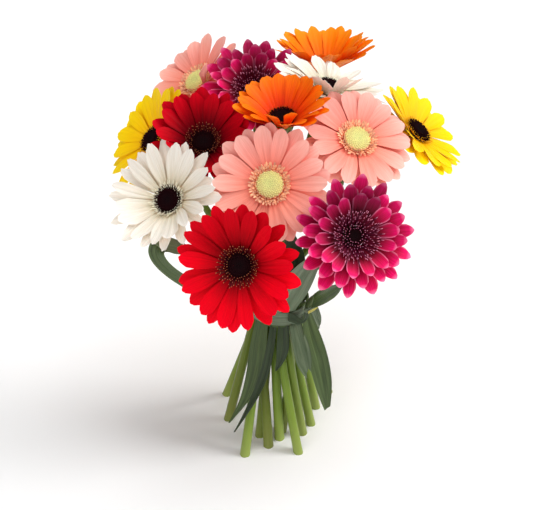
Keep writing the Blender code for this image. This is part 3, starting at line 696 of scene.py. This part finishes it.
def packed_bends(name, bloom):
    """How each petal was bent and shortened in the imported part, read from its corners."""
    points = cad_points(name + "_rays")
    tree = KDTree(len(points))
    for i, p in enumerate(points):
        tree.insert(p, i)
    tree.balance()
    style, tries = bloom[0], bends()
    found = {}
    for layer in range(len(style["scales"])):
        for column in range(layer % 2, 2 * style["petals"], 2):
            best = (math.inf, None)
            for bend in tries:
                miss = tree.find(tip_corner(bloom, layer, column, *bend))[2]
                best = min(best, (miss, bend))
                if miss < MATCH:
                    break
            found[layer, column] = best[1]
    return found


# Flower heads
def petal(build, bloom, layer, azimuth, extra, shorten, look, rng):
    """One fine petal: a channelled, grooved sheet with a rounded or notched tip.

    On the sheet, u runs across from -1 to 1, and v from the root to the tip.
    """
    centre, right, up, normal = head_frame(bloom)
    width, tip, notch, channel, groove, spread = look

    # Middle line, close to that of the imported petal
    grid = np.linspace(0, 1, PETAL_LINE_STEPS + 1)
    curl = rng.uniform(-9, 7) * spread
    line, length = petal_line(bloom, layer, azimuth, extra + rng.uniform(-1.4, 1.4) * spread,
                              shorten * rng.uniform(1 - 0.035 * spread, 1.02), grid, curl)
    azimuth += math.radians(rng.uniform(-1.8, 1.8)) * spread
    outward, sideways = turned(azimuth, right, up), turned(azimuth, up, -right)

    # Outline of the tip, rounded, leaning and toothed
    along = np.linspace(0, 1, PETAL_ROWS + 1)[:, None]
    u = np.linspace(-1, 1, PETAL_COLUMNS + 1)[None, :]
    lean = rng.uniform(-0.25, 0.25) * spread
    end = 1 - tip * np.abs(u - lean * 0.3) ** 2.4
    teeth = np.cos(3 * math.pi * u + rng.uniform(-0.6, 0.6))
    end += notch * teeth * (1 - u**2)
    v = along * end
    radius, height, slope = (np.interp(v, grid, line[:, k]) for k in range(3))

    # Width, narrow at the root and widest past the middle
    wide = width * rng.uniform(1 - 0.1 * spread, 1 + 0.05 * spread) * (0.6 + 0.4 * shorten)
    rise = np.clip(v / 0.7, 0, 1)
    profile = 0.27 + 0.73 * np.sin(math.pi / 2 * rise) ** 1.35
    profile *= (1 - 0.24 * np.clip((v - 0.72) / 0.28, 0, 1) ** 2)
    half = np.minimum(wide * profile / 2, math.tan(math.pi / bloom[0]["petals"]) * radius)

    # Relief: a channel, grooves, a rippled edge and a tilt near the tip
    open_up = np.sin(math.pi / 2 * np.clip(v / 0.35, 0, 1))
    channel *= rng.uniform(0.5, 1.5)
    lift = channel * half * (u**2 - 0.35) * (1 - 0.45 * v)
    grooves = np.cos(2.5 * math.pi * u + rng.uniform(-0.5, 0.5))
    lift += groove * grooves * (1 - u**2) * open_up * (1 - 0.5 * v)
    ripple = rng.uniform(0.15, 0.5) * spread
    lift += ripple * np.sin(2 * math.pi * (1.3 * v + rng.uniform(0, 1))) * u**2 * v
    tip_tilt = rng.uniform(-0.6, 0.6) * spread
    lift += tip_tilt * u * v**2

    # Twist about the middle line, and a drift to one side
    twist = math.radians(rng.uniform(-9, 9)) * spread * v
    aside = rng.uniform(-1.3, 1.3) * spread * v**2 * length / 42
    x = u * half * np.cos(twist) - lift * np.sin(twist) + aside
    z = u * half * np.sin(twist) + lift * np.cos(twist)
    over = -np.sin(slope)[..., None] * outward + np.cos(slope)[..., None] * normal
    surface = centre + radius[..., None] * outward + height[..., None] * normal
    surface = surface + x[..., None] * sideways + z[..., None] * over
    thick = PETAL_THICKNESS * (1 - 0.6 * u**4) * (1 - 0.35 * v) * (1 - 0.5 * along**8)
    offset = over * thick[..., None] / 2
    # Painted shade: the tone falls towards the upper petals, which the paint makes darker; a
    # random spread lies on top
    tone = min(1.0, max(0.0, 0.6 - 0.36 * math.sin(azimuth) + rng.uniform(-0.22, 0.22)))
    build.shell(surface + offset, surface - offset, (u + 1) / 2 + 0 * v, v, tone)


def build_rays(name, bloom, materials, seed):
    kind = name.split("_")[0]
    rng = np.random.default_rng(seed)
    build = Build()
    pitch = math.pi / bloom[0]["petals"]
    for (layer, column), (extra, shorten) in packed_bends(name, bloom).items():
        petal(build, bloom, layer, column * pitch, extra, shorten, PETAL_LOOKS[kind], rng)
    material = materials[SPECIAL_PETALS.get(name, kind)]
    build.make(name + "_petals", [material], name + "_rays", sharp=70)


def blade(build, root, direction, bend_to, side, size, tone, slot, profile, bend, rows=6,
          columns=3, dish=0.0):
    """A small leaf-like sheet that bends from its direction to another.

    Its size is length, width and thickness; its profile is the share of the width along it.
    """
    length, width, thickness = size
    t = np.linspace(0, 1, rows)
    angle = bend * t
    step = np.cos(angle)[:, None] * direction + np.sin(angle)[:, None] * bend_to
    over = -np.sin(angle)[:, None] * direction + np.cos(angle)[:, None] * bend_to
    middle = root + np.concatenate([np.zeros((1, 3)),
                                    np.cumsum((step[1:] + step[:-1]) / 2, axis=0)
                                    * length / (rows - 1)])
    half = np.interp(t, *zip(*profile)) * width / 2
    u = np.linspace(-1, 1, columns)
    grid = middle[:, None] + half[:, None, None] * u[None, :, None] * side
    grid = grid + over[:, None] * (dish * half[:, None] * (u**2)[None])[..., None]
    offset = over[:, None] * thickness / 2
    build.shell(grid + offset, grid - offset, np.tile((u + 1) / 2, (rows, 1)),
                np.tile(t[:, None], (1, columns)), tone, slot, under=0.0)


def build_disc(name, bloom, materials, seed):
    """Dome of crowded buds with rows of small florets round it."""
    kind = name.split("_")[0]
    rng = np.random.default_rng(seed)
    centre, right, up, normal = head_frame(bloom)
    build = Build()

    def out(a):
        return turned(a, right, up)

    floret_width, grow = HEART_LOOKS[kind]
    rim = DISC_PROFILE[0][0]
    rounds = [2 * math.pi * i / DISC_ROUND for i in range(DISC_ROUND)]
    rings = [[centre + out(a) * r * grow + normal * h for a in rounds]
             for r, h in DISC_PROFILE]
    build.tube(rings, np.array([r / rim for r, _ in DISC_PROFILE]), 0.3)

    # Buds are taller and lean further out towards the rim
    for i in range(DISC_BUDS):
        r = BUD_FIELD * math.sqrt((i + 0.5) / DISC_BUDS)
        a = i * GOLDEN_ANGLE
        h = np.interp(r, *zip(*DISC_PROFILE[:0:-1]))
        bud_size = (0.42 + 0.2 * r / BUD_FIELD) * grow
        tall = 0.55 + 0.7 * (r / BUD_FIELD) ** 2
        lean = out(a) * (0.35 * r / BUD_FIELD)
        side, over = out(a + math.pi / 2), out(a)
        base = centre + out(a) * r * grow + normal * (h - 0.35)
        bud = []
        for wide, rise in BUD_PROFILE:
            middle = base + (normal + lean) * rise * (tall + 0.35)
            bud.append([middle + bud_size * wide * turned(b, side, over)
                        for b in np.arange(BUD_ROUND) * 2 * math.pi / BUD_ROUND])
        build.tube(bud, np.full(len(bud), r / rim), rng.uniform(0.3, 1.0))

    # Florets stand clear of the petals under them
    rows = [(row, 1) for row in FRINGES[kind]]
    if kind != "pink":
        rows += [(row, 0) for row in DARK_FRINGE]
    for row, ((radius, count, length, lean), slot) in enumerate(rows):
        for i in range(count):
            a = 2 * math.pi * (i + 0.5 * (row % 2)) / count + rng.uniform(-0.06, 0.06)
            limit = lift_at(bloom, a, 0) + FLORET_CLEARANCE
            rise = max(90.0 - lean, limit) + rng.uniform(-5, 5)
            e = math.radians(min(STEEPEST_FLORET, rise))
            direction, over = turned(e, out(a), normal), turned(e, normal, -out(a))
            inside = max(0.0, rim * grow - radius)
            root = centre + out(a) * radius + normal * (1.0 + 0.9 * inside)
            size = (length * rng.uniform(0.82, 1.1), floret_width * rng.uniform(0.85, 1.15),
                    FLORET_THICKNESS)
            blade(build, root, direction, over, out(a + math.pi / 2), size, rng.uniform(0, 1),
                  slot, FLORET_PROFILE, rng.uniform(-0.3, 0.5), dish=0.3)
    disc = "pale_disc" if kind == "pink" else "dark_disc"
    build.make(name + "_heart", [materials[disc], materials[kind + "_floret"]],
               name + "_disc")


# Stems
def smooth_line(points, fine):
    """Catmull-Rom curve through the points, with the matching share of the whole at each."""
    out, shares = [], []
    count = len(points)
    for k in range(count - 1):
        p0, p1, p2 = points[max(k - 1, 0)], points[k], points[k + 1]
        p3 = points[min(k + 2, count - 1)]
        for s in range(fine):
            t = s / fine
            out.append(0.5 * (2 * p1 + (p2 - p0) * t + (2 * p0 - 5 * p1 + 4 * p2 - p3) * t * t
                              + (3 * p1 - p0 - 3 * p2 + p3) * t**3))
            shares.append((k + t) / (count - 1))
    out.append(points[-1])
    shares.append(1.0)
    return np.array(out), np.array(shares)


def path_frames(path):
    """Two directions across the path at each of its points."""
    tangents = np.gradient(path, axis=0)
    tangents /= np.linalg.norm(tangents, axis=1)[:, None]
    side = np.array([1.0, 0.0, 0.0])
    frames = []
    for t in tangents:
        side = side - t * side.dot(t)
        side /= np.linalg.norm(side)
        frames.append((side.copy(), np.cross(t, side)))
    return frames


def cup_radius(rise):
    return np.interp(rise, *zip(*CUP_PROFILE))


def build_stem(name, bloom, materials, seed):
    """Round stem with a cup of overlapping bracts under the flower."""
    rng = np.random.default_rng(seed)
    stations = stem_stations(name, bloom)
    path, share = smooth_line(stations, STEM_FINE)
    waist = WAIST_STATION / (len(stations) - 1)
    radii = np.where(share < waist,
                     CUT_RADIUS + (WAIST_RADIUS - CUT_RADIUS) * (share / waist) ** 0.8,
                     WAIST_RADIUS + (NECK_RADIUS - WAIST_RADIUS) * (share - waist) / (1 - waist))
    neck, normal = neck_of(bloom)
    frames = path_frames(path)
    turns = np.arange(STEM_ROUND) * 2 * math.pi / STEM_ROUND

    def circle(side, over):
        return np.cos(turns)[:, None] * side + np.sin(turns)[:, None] * over

    # Swellings, ridges and a flat cut end on the floor
    tone = rng.uniform(0, 1)
    phase = rng.uniform(0, 6)
    rings = []
    for k, (point, (side, over)) in enumerate(zip(path, frames)):
        swell = 1 + 0.035 * math.sin(share[k] * 23 + phase)
        ridges = 1 + 0.03 * np.cos(5 * turns + phase) + 0.02 * np.cos(8 * turns + 2 * phase)
        wide = (radii[k] * swell * ridges)[:, None]
        ring = point + wide * circle(side, over)
        if k == 0:
            along = path[1] - path[0]
            ring = ring - along * (ring[:, 2:] / along[2])
        rings.append(ring)
    side = frames[-1][0] - normal * normal.dot(frames[-1][0])
    side /= np.linalg.norm(side)
    over = np.cross(normal, side)
    for rise, wide in CUP_PROFILE:
        rings.append(neck + normal * rise + wide * circle(side, over))
    rings = np.array(rings)
    heights = np.clip(rings[:, :, 2].mean(axis=1) / STEM_COLOUR_HEIGHT, 0, 1)
    build = Build()
    build.tube(rings, heights, tone, (0, 1, 0))

    # Bracts follow the cup's slope, then bend inwards
    for first, count, length in BRACT_ROWS:
        for i in range(count):
            a = 2 * math.pi * (i + rng.uniform(-0.15, 0.15)) / count + first
            out, cross = turned(a, side, over), turned(a, over, -side)
            wide = cup_radius(first)
            late = cup_radius(first + length * 0.75)
            start = math.atan2(length * 0.75, late - wide) - 0.18
            direction, inward = turned(start, out, normal), turned(start, normal, -out)
            root = neck + normal * first + out * (wide + 0.15)
            size = (length * rng.uniform(0.9, 1.08),
                    2 * math.pi * BRACT_RING / count * BRACT_OVERLAP, BRACT_THICKNESS)
            blade(build, root, direction, inward, cross, size, rng.uniform(0, 1), 2,
                  BRACT_PROFILE, BRACT_BEND, rows=7, columns=5, dish=BRACT_DISH)
    build.make(name + "_green", [materials["stem"], materials["cut"], materials["bract"]],
               name + "_stem", sharp=50)


# Leaves and tie
def leaf_rings(node, halves):
    """Middle and half-width vector at each ring of a packed leaf.

    The half widths are known from the part; each is half the way between two of its edges.
    """
    half, _ = smooth_line(np.array(halves, float), CAD_LEAF_FINE)
    points = cad_points(node)
    gaps = np.linalg.norm(points[:, None] - points[None], axis=2)
    np.fill_diagonal(gaps, math.inf)
    partners = np.abs(gaps - CAD_LEAF_THICKNESS).argmin(axis=1)
    edges = np.array([(points[i] + points[j]) / 2 for i, j in enumerate(partners) if i < j])
    middles = []
    for h in half:
        miss = np.linalg.norm(edges[None] - edges[:, None] - 2 * h, axis=2)
        i, j = np.unravel_index(miss.argmin(), miss.shape)
        middles.append((edges[i] + edges[j]) / 2)
    return np.array(middles), half


# Leaves: paint, which is the slot too, then tone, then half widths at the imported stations
LEAVES = {
    # leaf_inner stands inside the bouquet; its darkest paint and low tone are painted shade for
    # the gaps between the heads
    "leaf_inner": ("dark_leaf", 0.1, (
        (4.5, 0.5, 0), (7.5, 0.5, 0), (10, 1, -1), (10, 1, -2), (4, 0.5, -1))),
    "leaf_side": ("dark_leaf", 0.1, (
        (3.5, -4.5, 0), (6, -6, 1), (7.5, -7, 2), (7, -6, 2), (2.5, -2, 1))),
    "leaf_loop": ("strap_leaf", 0.5, (
        (0.5, -1, 6), (2.5, -2.5, 6), (4, -2.5, 6.2), (6.5, -3, 4), (7, -3, 1),
        (5.5, -3, -4), (2, -4, -6), (1, -4, -6))),
    "leaf_broad": ("pale_leaf", 0.45, (
        (10, 1, 3), (11.5, 1, -1), (11.5, 2, -5), (9, 2, -5), (5, 1, -3))),
    "leaf_fold": ("strap_leaf", 0.05, (
        (2, 1, 5), (1, -3, 8), (-1, -5, 9.5), (-3, -5, 8), (-2, -2, 2.5))),
    "tail_right": ("strap_leaf", 0.45, (
        (3.2, 4.2, 0.8), (7.5, 3.5, 2), (8, 3.5, 3), (6.5, 3, 3), (3, 1.5, 1.5))),
    "tail_notched": ("pale_leaf", 0.15, (
        (5, 2.5, 0), (6.5, 2.5, 1.5), (6, 2.5, 2.5), (2.2, 1, 2.5))),
    "tail_small": ("pale_leaf", 0.4, ((2, 3, 3), (2, 3, 5), (2, 3, 4.5))),
    "tail_left": ("strap_leaf", 0.4, (
        (5.5, -3.6, 0), (7, -4, 1), (7, -4, 2.5), (5, -2.5, 3.5), (1.2, -0.6, 1.4))),
    "tail_dark": ("dark_leaf", 0.35, (
        (3, 0.5, 0), (4, -0.5, 1.5), (4.5, -1, 3), (3.5, -1.5, 3), (1.2, -0.5, 1.2))),
    "tail_middle": ("dark_leaf", 0.45, (
        (4.5, 0.5, 0), (5.5, 0.5, 0), (4, 0.5, 0.5), (1.5, 0.2, 0.3))),
}
CAD_LEAF_FINE, CAD_LEAF_THICKNESS = 2, 1.0
# Leaves wider than packed, with a special tip, and that start closer to the stems
WIDER = {"leaf_fold": 1.3}
TIPS = {"tail_notched": dict(fork=0.13), "tail_right": dict(point=0.1)}
TUCKED = ("leaf_broad", "tail_left", "tail_dark", "tail_middle", "tail_notched")
TUCK, TUCK_SHARE = 3.0, 0.3
LEAF_COLUMNS, LEAF_FINE = 16, 6
LEAF_THICKNESS, LEAF_RIBS = 0.8, 9
# The tip narrows over the last part of a leaf
TAPER_FROM, TAPER_SHARE = 0.84, 0.16


def leaf_sheet(build, middles, halves, tone, fold=0.16, ridge=0.14, fork=0.0, point=0.5,
               outward=None, tuck=0.0):
    """A keeled and ribbed strap leaf through rings; its face looks away from outward."""
    path, share = smooth_line(middles, LEAF_FINE)
    width, _ = smooth_line(halves, LEAF_FINE)
    if outward is not None:
        away = (path - outward) * (1, 1, 0)
        away /= np.linalg.norm(away, axis=1)[:, None]
        path = path - away * (tuck * np.clip(1 - share / TUCK_SHARE, 0, 1))[:, None]
    narrow = 1 - point * np.clip((share - TAPER_FROM) / TAPER_SHARE, 0, 1) ** 1.5
    width = width * narrow[:, None]
    along = np.gradient(path, axis=0)
    face = np.cross(along, width)
    face /= np.linalg.norm(face, axis=1)[:, None]
    if outward is not None:
        face *= np.where((face * away).sum(axis=1) < 0, -1, 1)[:, None]
    u = np.linspace(-1, 1, LEAF_COLUMNS + 1)[None, :]
    v = share[:, None] * (1 - fork * (1 - np.abs(u)) ** 0.8 - 0.5 * fork * (u > 0.2))
    mid, half, face = (np.stack([np.interp(v, share, values[:, k]) for k in range(3)], -1)
                       for values in (path, width, face))
    size = np.linalg.norm(half, axis=-1)
    lift = -fold * size * (1 - np.abs(u)) + fold * size * 0.4
    lift += ridge * np.cos(LEAF_RIBS * math.pi * u) * (1 - u**2)
    lift += 0.35 * np.sin(v * 9 + tone * 20) * u**3
    grid = mid + half * u[..., None] + face * lift[..., None]
    offset = face * (LEAF_THICKNESS / 2 * (1 - 0.5 * u**6))[..., None]
    build.shell(grid + offset, grid - offset, (u + 1) / 2 + 0 * v, v, tone)


def build_leaves(materials):
    for node, (kind, tone, halves) in LEAVES.items():
        middles, half = leaf_rings(node, halves)
        build = Build()
        leaf_sheet(build, middles, half * WIDER.get(node, 1.0), tone,
                   outward=np.array([WAIST_X, WAIST_Y, 0.0]),
                   tuck=TUCK if node in TUCKED else 0.0, **TIPS.get(node, {}))
        build.make(node + "_blade", [materials[kind]], node)


def tie_radius(height):
    """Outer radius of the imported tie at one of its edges."""
    points = cad_points("tie_band")
    points = points[np.abs(points[:, 2] - height) < 0.5]
    return np.hypot(points[:, 0] - WAIST_X, points[:, 1] - WAIST_Y).max()


def build_tie(materials):
    """Two turns of strap leaf round the stems, each with an outer and an inner wall."""
    low, high = tie_radius(TIE_LOW), tie_radius(TIE_HIGH)
    build = Build()
    turns = np.linspace(0, 2 * math.pi, TIE_ROUND + 1)[:-1]
    shares = [r / (TIE_ROWS - 1) for r in range(TIE_ROWS)]
    walls = [(share, 0) for share in shares] + [(share, 1) for share in shares[::-1]]
    for bottom, top, proud, tone in TIE_TURNS:
        rings = []
        for share, inner in walls:
            z = bottom + (top - bottom) * share
            tilt = 0.5 * np.sin(turns + tone * 5) + 0.25 * np.sin(3 * turns + tone)
            z = np.clip(z + tilt, TIE_LOW, TIE_HIGH)
            radius = low + (high - low) * (z - TIE_LOW) / (TIE_HIGH - TIE_LOW)
            rib = TIE_RIB_HEIGHT * math.cos(share * TIE_RIBS * 2 * math.pi)
            radius = radius + proud - TIE_THICKNESS * inner + (0 if inner else rib)
            rings.append(np.stack([WAIST_X + radius * np.cos(turns),
                                   WAIST_Y + radius * np.sin(turns), z], 1))
        rings = np.array(rings)
        count, columns = rings.shape[:2]
        index = np.arange(count * columns).reshape(count, columns)
        nxt, above = np.roll(index, -1, axis=1), np.roll(index, -1, axis=0)
        both = np.roll(above, -1, axis=1)
        faces = np.stack([index.ravel(), nxt.ravel(), both.ravel(), above.ravel()], 1)
        places = np.stack([np.repeat([share for share, _ in walls], columns),
                           np.tile(np.abs(turns / math.pi - 1) * 2, count)], 1)
        build.add(rings.reshape(-1, 3), faces, places,
                  np.tile([tone, 0.0], (count * columns, 1)), int(tone > 0.5))
    build.make("tie_straps", [materials["strap_leaf"], materials["pale_leaf"]],
               "tie_band")


# Hook of the tie's end: middle and half width at each station, as across, outward and up
HOOK = (((-9.0, -4.6, 1.0), (0.3, 0.2, 4.8)), ((-4.6, -1.6, -1.8), (1.9, 0.4, 3.4)),
        ((-0.8, 1.2, -4.6), (0.6, 0.8, 3.0)), ((3.2, 2.4, -3.9), (-1.5, 0.8, 2.5)),
        ((5.6, 2.2, -0.4), (-2.7, 0.4, 0.8)), ((6.0, 1.5, 3.4), (-2.3, 0.2, 0.6)))
HOOK_CLEARANCE, HOOK_TONE = 4.6, 0.3
FRAY_PROFILE = ((0.0, 1.0), (0.6, 0.8), (1.0, 0.1))
FIBRES, FIBRE_WIDTH, FIBRE_THICKNESS = 9, 1.1, 0.4
# Root, direction and size of the dry tip
DRY_TIP = ((6.5, 3.6, 3.6), (0.98, 0.1, 0.12), (11.0, 2.6, 0.5))


def build_knot(materials):
    """Hooked end of the tie at the front right, frayed at its tip."""
    angle = math.radians(KNOT_AZIMUTH)
    axes = np.array([[-math.sin(angle), math.cos(angle), 0.0],
                     [math.cos(angle), math.sin(angle), 0.0], [0.0, 0.0, 1.0]])
    centre = np.array([WAIST_X, WAIST_Y, KNOT_HEIGHT]) \
        + axes[1] * (tie_radius(TIE_HIGH) + HOOK_CLEARANCE)
    rng = np.random.default_rng(KNOT_SEED)
    build = Build()
    middles = centre + np.array([m for m, _ in HOOK]) @ axes
    halves = np.array([h for _, h in HOOK]) @ axes
    leaf_sheet(build, middles, halves, HOOK_TONE, fold=0.1, ridge=0.06, point=0.0)
    for i in range(FIBRES):
        place = i - FIBRES // 2
        spread = place * 0.11 + rng.uniform(-0.05, 0.05)
        direction = np.array([0.25 + spread, 0.1, 1.0]) @ axes
        direction /= np.linalg.norm(direction)
        side = np.cross(direction, axes[1])
        root = centre + np.array([6.0 + place * 0.5, 1.6 + 0.2 * (i % 2), 1.8]) @ axes
        size = (rng.uniform(5.0, 7.6), FIBRE_WIDTH, FIBRE_THICKNESS)
        blade(build, root, direction, axes[1], side, size, rng.uniform(0.4, 1), 1,
              FRAY_PROFILE, rng.uniform(-0.5, 0.5))
    root, direction, size = DRY_TIP
    blade(build, centre + np.array(root) @ axes, np.array(direction) @ axes, axes[1], axes[2],
          size, 0.8, 2, FRAY_PROFILE, -0.2)
    build.make("tie_loop", [materials["dark_leaf"], materials["pale_leaf"],
                            materials["dry_leaf"]], "tie_knot")


build_camera()
build_studio()
paints = build_materials()
for number, (bloom_name, bloom_data) in enumerate(BLOOMS.items()):
    build_stem(bloom_name, bloom_data, paints, STEM_SEED + number)
    build_disc(bloom_name, bloom_data, paints, DISC_SEED + number)
    build_rays(bloom_name, bloom_data, paints, PETAL_SEED + number)
build_leaves(paints)
build_tie(paints)
build_knot(paints)
